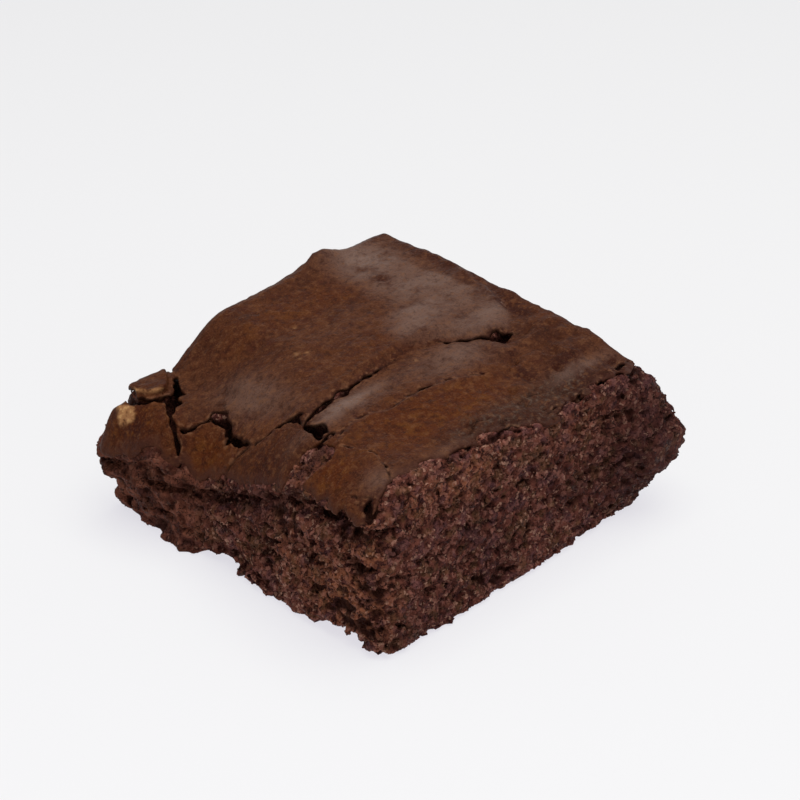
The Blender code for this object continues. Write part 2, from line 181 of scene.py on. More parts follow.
# Small dents in the crust: x, y, radius and depth.
DENTS = [
    (-33.6, 36.6, 1.8, 3), (-33.3, 34.6, 1.4, 1.3), (-2.8, -30.3, 0.8, 1), (9.6, -23.6, 0.8, 0.9),
    (3.2, -30.2, 1, 0.9), (9, -27.6, 0.8, 0.7), (21.5, -9.5, 1.5, 1.6), (17, -17.1, 1.1, 0.8),
    (15.4, -21.1, 0.6, 0.6), (21.7, -23.7, 0.8, 0.7), (24.5, -20.6, 1.2, 0.6), (26.4, -23.4, 1.1, 0.5),
    (31.1, -28.1, 0.9, 0.5), (8.5, -24.7, 0.6, 0.5), (-3, -30.3, 0.8, 0.6), (27, 12, 0.9, 0.3),
    (3, 9, 0.7, 0.25), (-12, -21, 0.7, 0.25), (31, -14, 1, 0.5), (29, -22, 1.2, 0.4), (29.4, -17, 1.6, 0.5),
    (13, -14.4, 0.8, 0.3)]

# A blister, as a raised ring: x, y, radius, width and rise.
RING = (19.8, 20.2, 1.5, 0.6, 0.2)

# Soft folds that the crust bends into without breaking: depth, and a route of (x, y, width).
FOLDS = {
    "lobe_east": (0.5, [
        (23, -11.2, 1.4), (26.5, -9.6, 1.7), (29.8, -6, 2.2), (31.6, -2, 2.4), (33.6, 2.6, 2),
        (35.5, 6, 1.2)]),
    "lobe_south": (0.45, [
        (-24, -4.6, 2.4), (-12.5, -4, 2), (-4.6, -3.2, 1.8), (2.7, -1.4, 2), (6.5, -0.8, 1.8),
        (12, -2.8, 1.8), (21.7, -9.6, 2)]),
    "near_ridge": (-0.35, [
        (-24, -14, 0.7), (-18, -12.3, 0.6), (-14.4, -12.6, 0.7), (-10, -13.8, 0.6), (-4, -13.4, 0.7),
        (0, -14.1, 0.8), (4.6, -15.1, 0.6), (8.8, -16.9, 0.6)]),
    "strip": (0.3, [(-21, -8.6, 1.4), (-10, -8.4, 1.6), (-2, -8, 1.6), (6, -9.4, 1.4)]),
    "west_lobe": (0.35, [(-20, 27, 2), (-12, 22, 2.4), (-2, 20.5, 2.6), (10, 21, 2.4)]),
}


def smooth(t):
    """Eases from 0 to 1 as t goes from 0 to 1."""
    t = np.clip(t, 0.0, 1.0)
    return t * t * (3 - 2 * t)


def swells(seed, sizes, axes=PLAN):
    """Smooth random field over a grid, spread about 1 either way; sizes are its bumps' size on each axis."""
    random = np.random.default_rng(seed)
    sizes = np.broadcast_to(sizes, len(axes))
    field = random.standard_normal([int(LATTICE_SPAN / size) + 4 for size in sizes])
    for number, (axis, size) in enumerate(zip(axes, sizes)):
        place = (axis - axis[0]) / size
        cell, t = np.floor(place).astype(int), place % 1
        weights = np.zeros((len(axis), field.shape[number]))
        rows = np.arange(len(axis))
        curves = [(1 - t) ** 3, 3 * t**3 - 6 * t**2 + 4, -3 * t**3 + 3 * t**2 + 3 * t + 1, t**3]
        for offset, curve in enumerate(curves):
            weights[rows, cell + offset] = curve / 6
        weights /= np.sqrt((weights**2).sum(axis=1).mean())
        field = np.moveaxis(np.tensordot(weights, field, axes=(1, number)), 0, number)
    return np.atleast_3d(field).astype(np.float32)


def route_distance(route, x, y):
    """Distance from each point to a route, and the route's width where it is nearest."""
    nearest = np.full(x.shape, np.inf)
    width = np.zeros(x.shape)
    for (x0, y0, w0), (x1, y1, w1) in zip(route, route[1:]):
        dx, dy = x1 - x0, y1 - y0
        t = np.clip(((x - x0) * dx + (y - y0) * dy) / (dx * dx + dy * dy), 0, 1)
        distance = np.hypot(x - x0 - t * dx, y - y0 - t * dy)
        closer = distance < nearest
        nearest = np.where(closer, distance, nearest)
        width = np.where(closer, w0 + t * (w1 - w0), width)
    return nearest, width


def depth_inside(outline, x, y):
    """How far each point lies inside a closed outline, and below 0 how far outside it."""
    route = [(px, py, 0.0) for px, py in outline + outline[:1]]
    edge, _ = route_distance(route, x, y)
    inside = np.zeros(x.shape, bool)
    for (x0, y0, _), (x1, y1, _) in zip(route, route[1:]):
        crosses = (y0 > y) != (y1 > y)
        if y1 != y0:
            inside ^= crosses & (x < x0 + (x1 - x0) * (y - y0) / (y1 - y0))
    return np.where(inside, edge, -edge)


def settled_top(x, y):
    """Height of the crust before it cracked: a flat top that slumps down along -X."""
    rim = np.interp(y, SLUMP_STATIONS, SLUMP_RIM)
    start = np.interp(y, SLUMP_STATIONS, SLUMP_START)
    along = np.clip((start - x) / (start - WEST), 0, SLUMP_REACH)
    slump = (CREST - rim) * along ** SLUMP_CURVE
    shelf = SHELF_DROP * smooth((SHELF_START - x) / (SHELF_START - SHELF_END))
    shelf = shelf + SHELF_TURN * np.clip(SHELF_EDGE - x, 0, None) ** 2
    near_shelf = smooth((y - SHELF_FROM) / (SHELF_FULL - SHELF_FROM))
    height = CREST - slump * (1 - near_shelf) - shelf * near_shelf
    height = height - EAST_CORNER_SINK * smooth((x - y - EAST_CORNER_FROM) / EAST_CORNER_REACH)
    (from_x, from_y), (reach_x, reach_y) = SOUTH_DROOP_FROM, SOUTH_DROOP_REACH
    height = height - SOUTH_DROOP * smooth((from_y - y) / reach_y) * smooth((x - from_x) / reach_x)
    blister_x, blister_y, reach, rise = BLISTER
    return height + rise * np.exp(-((x - blister_x) ** 2 + (y - blister_y) ** 2) / reach**2)


x2, y2, _ = np.meshgrid(*PLAN, 0, indexing="ij")

# The crust as it settled, before it broke: slumped, raised in the lobe and softly folded.
settled = settled_top(x2, y2) + SETTLED_SWELL * swells(12, SETTLED_SWELL_SIZE)
settled = settled + LOBE_LIFT * smooth(depth_inside(LOBE, x2, y2) / LOBE_EDGE)
for depth, route in FOLDS.values():
    distance, width = route_distance(route, x2, y2)
    settled -= depth * np.exp(-((distance / width) ** 2))

# Then its plates, dents and blister, its wrinkled south, and small swells and pits all over.
crust_top = settled.copy()
for lift, rise_x, rise_y, outline in PLATES.values():
    centre_x, centre_y = np.mean(outline, axis=0)
    raised = lift + rise_x * (x2 - centre_x) + rise_y * (y2 - centre_y)
    crust_top += raised * smooth(depth_inside(outline, x2, y2) / PLATE_EDGE + 0.5)
for dent_x, dent_y, radius, depth in DENTS:
    crust_top -= depth * np.exp(-((x2 - dent_x) ** 2 + (y2 - dent_y) ** 2) / radius**2)
ring_x, ring_y, radius, width, rise = RING
crust_top += rise * np.exp(-(((np.hypot(x2 - ring_x, y2 - ring_y) - radius) / width) ** 2))

wrinkled = smooth((WRINKLED_SOUTH_OF - y2) / WRINKLED_FADE)
wrinkled = wrinkled * smooth((WRINKLED_HALF_LENGTH - np.abs(x2 - WRINKLED_MIDDLE)) / WRINKLED_END)
wrinkles = np.abs(swells(14, (4.5, 1)) + 0.6 * swells(19, (1.8, 0.8)))
crease = wrinkled * np.clip(1 - wrinkles / CREASE_WIDTH, 0, 1) * smooth(0.2 + swells(7, 1.4))
crust_top -= CREASE_DEPTH * crease
streaks = swells(13, (8, 1.5))
crust_top += (0.06 + 0.12 * wrinkled) * streaks + 0.06 * swells(15, 2.4) + 0.12 * swells(17, 5)
crust_top += 0.05 * swells(18, 0.9)
block = smooth(depth_inside(PLATES["corner"][3], x2, y2) / 3)
crust_top += block * (0.45 * swells(8, (2.6, 3.4)) + 0.16 * swells(35, 1.3))
east_patches = smooth((x2 - 4) / 12) * smooth((-4 - y2) / 8)
crust_top += east_patches * (0.24 * swells(20, (3.2, 2)) - 0.3 * np.clip(swells(9, 1.6) - 0.8, 0, 1.5))
crust_top -= (0.10 + 0.25 * wrinkled) * np.clip(np.abs(swells(16, (2.6, 1.3))) - 1.1, 0, 1)

# And last its cracks: how far each place is from a crack's edge, and how deep the crumb is split below it.
rag = CRACK_RAG * sum(swells(11, size) for size in CRACK_RAG_SIZES)
crack_gap = np.full(x2.shape, 9.0)
crack_depth = np.zeros(x2.shape)
for depth, route in CRACKS.values():
    distance, width = route_distance(route, x2, y2)
    crack_gap = np.minimum(crack_gap, distance + rag * smooth(width / 0.8) - width / 2)
    crack_depth = np.maximum(crack_depth, depth * smooth(1.3 - distance / (0.55 * width + 0.5)))

# The crumb: baked chocolate sponge, dense and moist, full of small holes where steam was. It is the whole
# body of the piece. A knife cut two of its faces, and the -X side is torn along the slumped crust.
WEST_BULGE_AT, WEST_BULGE = [12, 17.6, 20, 27, 35], [0, 1.0, 2.8, 4.7, 5.7]
NORTH_BULGE_AT, NORTH_BULGE = [-33, -26, -18, -8], [2.2, 1.6, 0.6, 0]
BULGE_RISE = 0.7
BASE_ROUNDING, BASE_ROUNDING_HEIGHT = 0.5, 0.05
NEAR_CORNER, NEAR_CORNER_LEAN = 1.8, 0.4
SOUTH_LEAN_AT, SOUTH_LEAN = [-33, -4, 6, 35], [2.4, 2.2, 1.0, 0.8]
LIP_LEVELS, LIP_DEPTH = (0.74, 0.87, 0.97), 1.9
CORNER_ROUNDING, NEAR_CORNER_ROUNDING, FAR_OVERHANG = 2.4, 3.0, 0.2
CRUST_THICKNESS, CRUST_SUNK, BOX_MARGIN = 0.8, 0.6, 0.02
TRIANGLES = 190000

# The far right corner's bulge: how far it stands out at levels from the floor, 0, to the rim, 1.
CORNER_POST_LEVELS = [0, 0.1, 0.2, 0.28, 0.36, 0.42, 0.52, 0.56, 0.61, 0.7, 0.77, 0.82, 0.87, 0.92, 1.0]
CORNER_POST = [-0.6, 0.2, 2.1, 3.4, 5.2, 5.8, 6.0, 5.7, 4.8, 3.5, 2.9, 2.3, 1.4, 0.4, -1.4]
EAST_POST_REACH, SOUTH_POST_REACH = 14.0, 8.0

# Worn runs of the base's edge: where each starts and ends, and how far it is drawn in.
WEST_BASE_WEAR = [
    (3.5, 13.4, 4.4), (13, 30.5, -1.8), (15.5, 23.5, -1.4), (-28.5, -16.5, 4.8), (-16, -11, 0.6)]
SOUTH_BASE_WEAR = [(16, 33.5, 0.7), (-18, -15, -0.8)]
BASE_WEAR_HEIGHT, WEAR_START, WEAR_END = 0.13, 1.2, 2.5

# How far the crust stops short of the south and west sides, at places along them, and its gaps at the rims.
SET_BACK_AT = [-33, -26, -3, 4, 13, 17, 25, 28, 32, 35]
SET_BACK = [0.9, 2.2, 1.8, 0.7, 0.6, 1.4, 1.2, 0.2, 0.2, 0.8]
WEST_SET_BACK_AT = [-32, -28, -24, -21, -14, -9, -7, 10, 22, 26]
WEST_SET_BACK = [-0.2, -0.6, -0.5, 0.2, 0.1, 0.4, 1.4, 1.3, 1.2, -0.2]
SLUMPED_EDGE, SLUMPED_EDGE_REACH = (-31, -9), (3, 4)
RIM_GAP_DEPTH, RIM_GAP_WIDTH = 0.9, 0.55

# Hollows in the two cut sides: where each is along the side, its height, half its length, half its height,
# and how deep it is.
WEST_HOLLOWS = [
    (-18, 24.6, 5.4, 1.1, 3.4), (-23.6, 25.6, 2.6, 1, 3.4), (-28.8, 25.3, 3.8, 1, 3.6),
    (-27.2, 18.3, 5.4, 1.4, 3.2), (-14, 14.5, 3, 1.3, 1.8), (5, 3.4, 5, 1.7, 1.6),
    (33.5, 5.6, 4.5, 2.2, 1.8), (12, 8.5, 2.4, 1.2, 1.3), (31.5, 12.4, 3.8, 1, 1.8),
    (20.5, 12, 4.5, 0.8, 2.8), (13.2, 13.4, 3.6, 0.8, 2.8), (7.8, 15, 3.4, 0.8, 2.8),
    (3.4, 16.7, 2.6, 0.9, 2.8), (-0.8, 18.7, 2.8, 0.9, 2.8), (-5.2, 20.9, 2.8, 0.9, 2.8),
    (-6, 10, 2.8, 1.1, 1.5), (22, 6, 2.8, 1, 1.4), (-9.6, 22.6, 3, 0.9, 3)]
SOUTH_HOLLOWS = [
    (28.8, 15, 1.4, 1.3, 2), (24, 22.1, 1.2, 1.2, 1.8), (24.7, 24.6, 1.6, 0.7, 1.3), (6, 24, 1.8, 0.6, 1.4),
    (-12.5, 10.6, 2, 1.1, 2.2), (-20.9, 16.3, 1.2, 0.9, 1.7), (-26.4, 15, 2.4, 0.6, 1.4),
    (-28.5, 25.8, 2.5, 0.6, 1.5), (-16.7, 23.4, 2.2, 0.55, 1.6), (-13.1, 24.9, 1.2, 0.6, 1.4),
    (-21.1, 9.3, 1.5, 1.2, 2), (-23.4, 22, 1.2, 1, 1.6), (-12.4, 29.2, 0.9, 0.7, 1.3),
    (-5, 19, 1.5, 1, 1.6), (-14, 4.5, 2.2, 1, 1.6), (9, 14, 1.4, 0.9, 1.5), (16, 10, 2.2, 1, 1.7),
    (29, 9, 1.2, 0.9, 1.4), (20, 15, 1.4, 0.9, 1.4), (2, 7, 1.5, 0.8, 1.3), (0, 27, 1.4, 0.7, 1.2),
    (14, 27.5, 1.2, 0.6, 1.2)]


def hollow_depth(hollows, along, z):
    """How deep a side is hollowed at each place along it."""
    depth = np.zeros(along.shape)
    for centre, height, half_length, half_height, deep in hollows:
        away = ((along - centre) / half_length) ** 2 + ((z - height) / half_height) ** 2
        depth = np.maximum(depth, deep * np.exp(-away**2))
    return depth


def base_wear(runs, along, level):
    """How far worn runs of the base edge are drawn in."""
    drawn_in = np.zeros(along.shape)
    for start, end, depth in runs:
        run = smooth((along - start) / WEAR_START) * smooth((end - along) / WEAR_END)
        drawn_in = drawn_in + depth * run
    return drawn_in * (1 - smooth(level / BASE_WEAR_HEIGHT))


def smaller(a, b, blend):
    """The smaller of two distances, rounded over a blend where they are alike."""
    return np.minimum(a, b) - np.clip(blend - np.abs(a - b), 0, None) ** 2 / (4 * blend)


def level_of(z, rim):
    """0 at the floor and 1 at the rim."""
    return np.clip(z / rim, 0, 1.05)


rim_west = settled_top(WEST - np.interp(Y_AXIS, WEST_BULGE_AT, WEST_BULGE), Y_AXIS)
rim_south = settled_top(X_AXIS, np.full(len(X_AXIS), SOUTH + 2.0))
yz_y, yz_z = np.meshgrid(Y_AXIS, Z_AXIS, indexing="ij")
xz_x, xz_z = np.meshgrid(X_AXIS, Z_AXIS, indexing="ij")
west_level = level_of(yz_z, rim_west[:, None])
east_level = level_of(yz_z, CREST)
south_level = level_of(xz_z, rim_south[:, None])
north_level = level_of(xz_z, settled_top(X_AXIS, np.full(len(X_AXIS), NORTH))[:, None])


def base_rounding(level):
    """How far the foot of a side is rounded in at a level."""
    return BASE_ROUNDING * (1 - smooth(level / BASE_ROUNDING_HEIGHT)) ** 2


lip_low, lip_middle, lip_high = LIP_LEVELS
lip = smooth((west_level - lip_low) / (lip_middle - lip_low))
lip *= smooth((lip_high - west_level) / (lip_high - lip_middle))
west_side = WEST - np.interp(yz_y, WEST_BULGE_AT, WEST_BULGE) * west_level**BULGE_RISE
west_side += base_wear(WEST_BASE_WEAR, yz_y, west_level) + base_rounding(west_level)
west_crumb = west_side + LIP_DEPTH * lip + hollow_depth(WEST_HOLLOWS, yz_y, yz_z)
post = np.interp(east_level, CORNER_POST_LEVELS, CORNER_POST)
reach = np.where(post > 0, EAST_POST_REACH, SOUTH_POST_REACH)
east_side = EAST + post * np.exp(-((np.clip(yz_y - SOUTH, 0, None) / reach) ** 2)) - base_rounding(east_level)
post = np.interp(south_level, CORNER_POST_LEVELS, CORNER_POST)
south_side = SOUTH + np.interp(xz_x, SOUTH_LEAN_AT, SOUTH_LEAN) * south_level**1.5
south_side -= post * np.exp(-((np.clip(EAST - xz_x, 0, None) / SOUTH_POST_REACH) ** 2))
south_side += base_wear(SOUTH_BASE_WEAR, xz_x, south_level) + base_rounding(south_level)
south_crumb = south_side + hollow_depth(SOUTH_HOLLOWS, xz_x, xz_z)
north_side = NORTH + np.interp(xz_x, NORTH_BULGE_AT, NORTH_BULGE) * np.sin(np.pi * np.clip(north_level, 0, 1))
north_side -= base_rounding(north_level)

x3, y3, z3 = np.ix_(*SPACE)


def within_sides(west, east, south, north, post_rounding):
    """How far each grid point lies inside the four sides."""
    across = smaller(x3 - west[None], east[None] - x3, post_rounding)
    along = smaller(y3 - south[:, None], north[:, None] - y3, post_rounding)
    return smaller(across, along, post_rounding).astype(np.float32)


def flattened(height):
    """What makes a height above a surface a distance from it: 1 where it is level, less where it slopes."""
    slope_x, slope_y = np.gradient(height, STEP, axis=(0, 1))
    return 1 / np.sqrt(1 + slope_x**2 + slope_y**2)


smooth_sides = within_sides(west_crumb, east_side, south_crumb, north_side, CORNER_ROUNDING)
near_corner = (x3 - WEST + y3 - SOUTH) / np.sqrt(2) - NEAR_CORNER
near_corner = near_corner + NEAR_CORNER_LEAN * np.clip(z3 / CREST, 0, 1)
smooth_sides = smaller(smooth_sides, near_corner, NEAR_CORNER_ROUNDING).astype(np.float32)
set_back = np.interp(X_AXIS, SET_BACK_AT, SET_BACK)[:, None]
west_set_back = np.interp(Y_AXIS, WEST_SET_BACK_AT, WEST_SET_BACK)[:, None]
crust_sides = within_sides(west_side + west_set_back, east_side - FAR_OVERHANG,
                           south_side + set_back, north_side - FAR_OVERHANG, CORNER_ROUNDING)

# The top: it follows the crust's underside, stands a little proud where the crust has broken away along the
# rims, and lies lower under the cracks.
(slumped_x, slumped_y), (reach_x, reach_y) = SLUMPED_EDGE, SLUMPED_EDGE_REACH
away_from_slump = np.maximum(smooth((x2 - slumped_x) / reach_x), smooth((slumped_y - y2) / reach_y))
edge_rag = 0.5 * swells(41, 2.6) + 0.4 * swells(42, 1.1)
far_edge = smooth((np.maximum(x2 - EAST, y2 - NORTH) + 6) / 4)
edge_rag = edge_rag * (0.4 + 0.6 * away_from_slump) * (1 - 0.75 * far_edge)
at_top = np.clip((settled - Z_AXIS[0]) / STEP, 0, len(Z_AXIS) - 1).astype(int)
rim_inside = np.take_along_axis(crust_sides, at_top, 2) + edge_rag
crumb_top = np.minimum(settled, crust_top) - CRUST_SUNK * CRUST_THICKNESS - crack_depth
torn_patch = smooth(depth_inside(TORN_PATCH, x2, y2) / PLATE_EDGE + 0.5)
crumb_top += 0.3 * torn_patch + (0.3 - 0.8 * far_edge) * smooth(0.5 - rim_inside) * away_from_slump
rim_gap = np.clip(swells(43, 2.2) + 0.2, 0, 1.2) * away_from_slump
crumb_top -= RIM_GAP_DEPTH * rim_gap * np.exp(-((rim_inside / RIM_GAP_WIDTH) ** 2))
smooth_top = ((crumb_top - z3) * flattened(settled)).astype(np.float32)
uncut_top = (settled - CRUST_THICKNESS - z3) * flattened(settled)
smooth_block = np.minimum(np.minimum(smooth_sides, uncut_top), z3).astype(np.float32)

# How rough each face is: flat chips and ledges, sharp cuts and pits. The torn west side is roughest, and it
# calms down towards the far left, where the crumb was pressed smooth.
near_west = smooth((WEST + 8 - x3) / 6) * smooth((y3 + 36) / 5)
calm = smooth((y3 - 6) / 12) * smooth((WEST + 9 - x3) / 5)
far_tip = np.exp(-(((x3 - 38) / 8) ** 2) - ((y3 + 33) / 10) ** 2)
far_rim = smooth((np.maximum(x3 - EAST, y3 - NORTH) + 4) / 3) * smooth((z3 - CREST + 8) / 5)
SKIN_DEPTH = 1.5
CUT_DEPTH, CUT_WIDTH = 0.8, 0.3
PIT_DEPTH, PIT_LEVEL = 0.8, 0.9
DASH_DEPTH, DASH_BELOW, DASH_HEIGHT = 0.8, 0.35, 0.4
FLECK_TABLE = 32


def flecks(seed, size, near):
    """Flat chips of crumb, each with its own tilt and height, at the grid points where near is true."""
    table = np.random.default_rng(seed).random((FLECK_TABLE,) * 3 + (7,), dtype=np.float32)
    i, j, k = np.nonzero(near)
    points = np.stack([X_AXIS[i], Y_AXIS[j], Z_AXIS[k]], 1).astype(np.float32) / np.float32(size)
    cell = np.floor(points).astype(np.int32)
    nearest = np.full(len(points), np.inf, np.float32)
    height = np.zeros(len(points), np.float32)
    for step in np.ndindex(3, 3, 3):
        beside = cell + np.array(step, np.int32) - 1
        made = table[tuple((beside % FLECK_TABLE).T)]
        away = points - beside - made[:, :3]
        distance = (away**2).sum(axis=1)
        tilted = (away * (made[:, 3:6] - 0.5)).sum(axis=1) * 1.6 + made[:, 6] - 0.5
        closer = distance < nearest
        nearest = np.where(closer, distance, nearest)
        height = np.where(closer, tilted, height)
    field = np.zeros(near.shape, np.float32)
    field[near] = height
    return field


near_skin = np.abs(smooth_sides) < SKIN_DEPTH
chips = 0.42 * flecks(27, 1.5, near_skin) + 0.34 * flecks(28, 0.9, near_skin)
broad = swells(21, (6, 6, 4), SPACE)
ledges = swells(22, (2.8, 2.8, 1.4), SPACE)
lumps = swells(23, (1.3, 1.3, 1), SPACE)
pits = swells(24, (1, 1, 0.7), SPACE)
grain = swells(25, 0.6, SPACE)
cuts = swells(29, (1.8, 1.8, 1.1), SPACE)
strands = swells(30, (2.2, 2.2, 4), SPACE)
relief = chips * (1 - 0.6 * calm) * (1 - 0.65 * far_tip)
relief = relief + 0.12 * (np.abs(lumps) - 0.8) + 0.12 * grain + 0.1 * broad + 0.5 * calm * strands
relief += near_west * (0.2 * broad + 0.25 * (np.abs(lumps) - 0.8) + 0.35 * ledges - 0.15) * (1 - 0.5 * calm)
relief -= CUT_DEPTH * np.clip(1 - np.abs(cuts) / CUT_WIDTH, 0, 1) * smooth(0.5 + lumps) * (1 - 0.5 * calm)
relief -= PIT_DEPTH * np.clip(pits + 0.35 * ledges - PIT_LEVEL, 0, 1.1)
relief -= (0.4 + 1.2 * near_west) * np.clip(ledges - 1.3, 0, 1.2)
relief = np.minimum(relief, 0.45 + 0.3 * near_west - 0.35 * far_rim).astype(np.float32)
crumb = smooth_sides + relief + 0.3
dashes = np.clip(swells(26, (2.6, 2.6)), 0, 1.3)
under_crust = (crumb_top - DASH_BELOW - z3) / DASH_HEIGHT
crumb -= DASH_DEPTH * dashes * np.exp(-(under_crust**2))

# Pores: steam's bubbles, cut open by the knife; each is an ellipsoid just under one of the four sides.
PORE_COUNT, PORE_SIZE, PORE_LARGEST = 140, 0.26, 0.9
random = np.random.default_rng(31)


def punch(field, centre, radii, turn):
    """Takes an ellipsoid out of a field; its long way lies flat, turned in plan."""
    reach = max(radii) + 2 * STEP
    part = tuple(slice(*np.searchsorted(axis, [c - reach, c + reach])) for axis, c in zip(SPACE, centre))
    dx, dy, dz = x3[part[0]] - centre[0], y3[:, part[1]] - centre[1], z3[:, :, part[2]] - centre[2]
    along, across = dx * np.cos(turn) + dy * np.sin(turn), dy * np.cos(turn) - dx * np.sin(turn)
    away = np.sqrt((along / radii[0]) ** 2 + (across / radii[1]) ** 2 + (dz / radii[2]) ** 2)
    field[part] = np.minimum(field[part], (away - 1) * min(radii))


def side_point(side, along, height):
    """A point on one of the four sides."""
    i = np.searchsorted(Z_AXIS, height)
    if side in ("west", "east"):
        j = np.searchsorted(Y_AXIS, along)
        return (west_crumb if side == "west" else east_side)[j, i], along, height
    j = np.searchsorted(X_AXIS, along)
    return along, (south_crumb if side == "south" else north_side)[j, i], height


for _ in range(PORE_COUNT):
    side = random.choice(["west", "south", "east", "north"])
    along, height = random.uniform(-34, 35), random.uniform(0.8, 32)
    size = min(PORE_SIZE * np.exp(0.4 * random.standard_normal()) + 0.05, PORE_LARGEST)
    inward = random.uniform(-0.2, 0.9) * size
    x, y, z = side_point(side, along, height)
    centre = (x + inward * (side == "west") - inward * (side == "east"),
              y + inward * (side == "south") - inward * (side == "north"), z)
    flat = random.uniform(1.0, 1.9)
    radii = (size * flat, size * random.uniform(0.8, 1.2), size * random.uniform(0.7, 1.1))
    turn = random.uniform(0, np.pi)
    punch(crumb, centre, radii, turn)

# Where the top lies open, at cracks, torn patches and rims, it is as rough as the sides.
open_rim = smooth(0.5 - rim_inside) * np.maximum(away_from_slump, 0.5)
open_top = np.clip(smooth(crack_depth / 0.5) + torn_patch + open_rim, 0, 1)
top_relief = 0.2 * grain + 0.25 * lumps - 0.3 * np.clip(pits, 0, 1.2) - 0.1
top_relief = top_relief + torn_patch * 0.8 * (np.abs(lumps) - 0.6)
crumb = smaller(crumb, smooth_top + open_top * top_relief, 0.7)


def within_box(field):
    """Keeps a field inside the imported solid's own box."""
    low, high = [np.array(corner) / MM + PLAN_SHIFT for corner in cad_box]
    for place, below, above in zip((x3, y3, z3), low, high):
        field = np.minimum(field, np.minimum(place - below, above - place) - BOX_MARGIN)
    return field.astype(np.float32)


crumb = within_box(crumb)


def soft_patches(patches):
    """Soft spots added up: each is a centre, a reach on each axis, and a strength."""
    total = 0
    for centre, reach, strength in patches:
        away = sum(((p - c) / r) ** 2 for p, c, r in zip((x3, y3, z3), centre, reach))
        total = total + strength * np.exp(-away)
    return np.clip(total, 0, 1)


def largest_shell(points, quads):
    """Keeps the faces of the largest connected surface."""
    label = np.arange(len(points))
    pairs = np.concatenate([quads[:, corner:corner + 2] for corner in range(3)])
    while True:
        low = np.minimum(label[pairs[:, 0]], label[pairs[:, 1]])
        new = label.copy()
        np.minimum.at(new, pairs[:, 0], low)
        np.minimum.at(new, pairs[:, 1], low)
        new = new[new]
        if (new == label).all():
            break
        label = new
    values, counts = np.unique(label[quads[:, 0]], return_counts=True)
    kept = quads[label[quads[:, 0]] == values[counts.argmax()]]
    used, numbers = np.unique(kept, return_inverse=True)
    return points[used], numbers.reshape(-1, 4)


def sampled(field, points):
    """A grid field's value at each point, in grid units."""
    cell = np.clip(np.floor(points).astype(int), 0, np.array(field.shape) - 2)
    t = points - cell
    value = 0
    for corner in np.ndindex(2, 2, 2):
        weight_x, weight_y, weight_z = np.where(corner, t, 1 - t).T
        value = value + weight_x * weight_y * weight_z * field[tuple((cell + corner).T)]
    return value


def apply_modifiers(piece):
    """Gives a piece the mesh that its modifiers make."""
    final = bpy.data.meshes.new_from_object(piece.evaluated_get(bpy.context.evaluated_depsgraph_get()))
    piece.modifiers.clear()
    piece.data = final


def solid_from_field(name, field, **attributes):
    """A closed mesh where a field is above 0, thinned if need be, that carries other fields' values."""
    grid = openvdb.FloatGrid()
    grid.copyFromArray(np.ascontiguousarray(-field, dtype=np.float32))
    points, quads = grid.convertToQuads(0.0)
    points, quads = largest_shell(points, quads.astype(np.int64))
    mesh = bpy.data.meshes.new(name)
    origin = np.array([axis[0] for axis in SPACE]) - PLAN_SHIFT
    mesh.from_pydata((points * STEP + origin) * MM, [], quads)
    for label, values in attributes.items():
        layer = mesh.attributes.new(label, "FLOAT", "POINT")
        values = np.broadcast_to(values, field.shape)
        layer.data.foreach_set("value", sampled(values, points).astype(np.float32))
    mesh.shade_smooth()
    piece = new_object(name, mesh)
    if 2 * len(quads) > TRIANGLES:
        piece.modifiers.new("thin", "DECIMATE").ratio = TRIANGLES / (2 * len(quads))
        apply_modifiers(piece)
    return piece


# Soft spots on the crumb, toasted brown, darker, or pale: each one's centre, reach and strength.
TOASTED = [
    ((-34, -24, 7), (3, 7, 5), 0.9), ((-38, 27, 10.5), (3, 2.2, 1.8), 0.6),
    ((-33.5, -21, 27.6), (2.4, 6, 1.6), 0.9), ((-33, -30, 27), (3, 3, 2), 0.6),
    ((-34, -31, 21), (3, 6, 3), 0.9), ((-34, -27, 13), (4, 7, 4), 0.9), ((-33, -33, 8), (5, 4, 8), 0.5),
    ((-9, -33, 28), (7, 5, 3.5), 0.8), ((-22, -33, 28), (7, 5, 4), 0.45), ((-36, -14, 15), (5, 9, 9), 0.45),
    ((18, -33, 26), (9, 6, 4), 0.3), ((-29, -11, 28), (5, 5, 4), 0.7), ((-37, 8, 9), (5, 20, 9), 0.25)]
# Darker spots: painted shade under the slumped crust's west edge and in the torn hole, elsewhere darker
# crumb.
DARKENED = [
    ((-33.5, -9.6, 22.8), (3, 3.4, 1.6), 0.8), ((-33.5, -4, 20.4), (3, 3.6, 1.5), 0.8),
    ((-33.5, 2, 17.4), (3, 3.6, 1.5), 0.8), ((-34, 8, 15), (3, 3.8, 1.5), 0.8),
    ((-34.5, 15, 13.2), (3, 4.5, 1.4), 0.8), ((-32.5, -18, 24.8), (3, 4, 1.4), 0.6),
    ((-27, -12.2, 30), (2.4, 1.5, 3), 0.9), ((-30.8, -12.6, 29), (2.2, 1.2, 3), 0.6),
    ((-24, -34, 2.5), (6, 3, 3), 0.25), ((-34, -11.5, 25.5), (3, 1.8, 2.2), 0.5),
    ((-29, -34, 4), (5, 3, 4), 0.3), ((34, -32, 14), (11, 12, 16), 0.95), ((16, -34, 13), (4, 3, 4), 0.5),
    ((-2, -34, 8), (5, 3, 4), 0.4), ((-36, 27, 12), (9, 13, 14), 0.4), ((-36, -4, 16), (4, 6, 5), 0.4),
    ((-10, -34, 16), (3, 3, 3), 0.5)]
PALE = [((-28.6, -9.2, 29.5), (2.1, 1.5, 3), 1.0), ((-31.5, -26.5, 28), (1.6, 2.5, 1.5), 0.4)]
open_face = smooth((1.2 - smooth_sides) / 0.8) + open_top
open_face = np.clip(open_face, 0, 1) * (1 - 0.7 * calm) * (1 - 0.9 * far_rim)
open_face = open_face * (within_box(9.0) > 0.5)
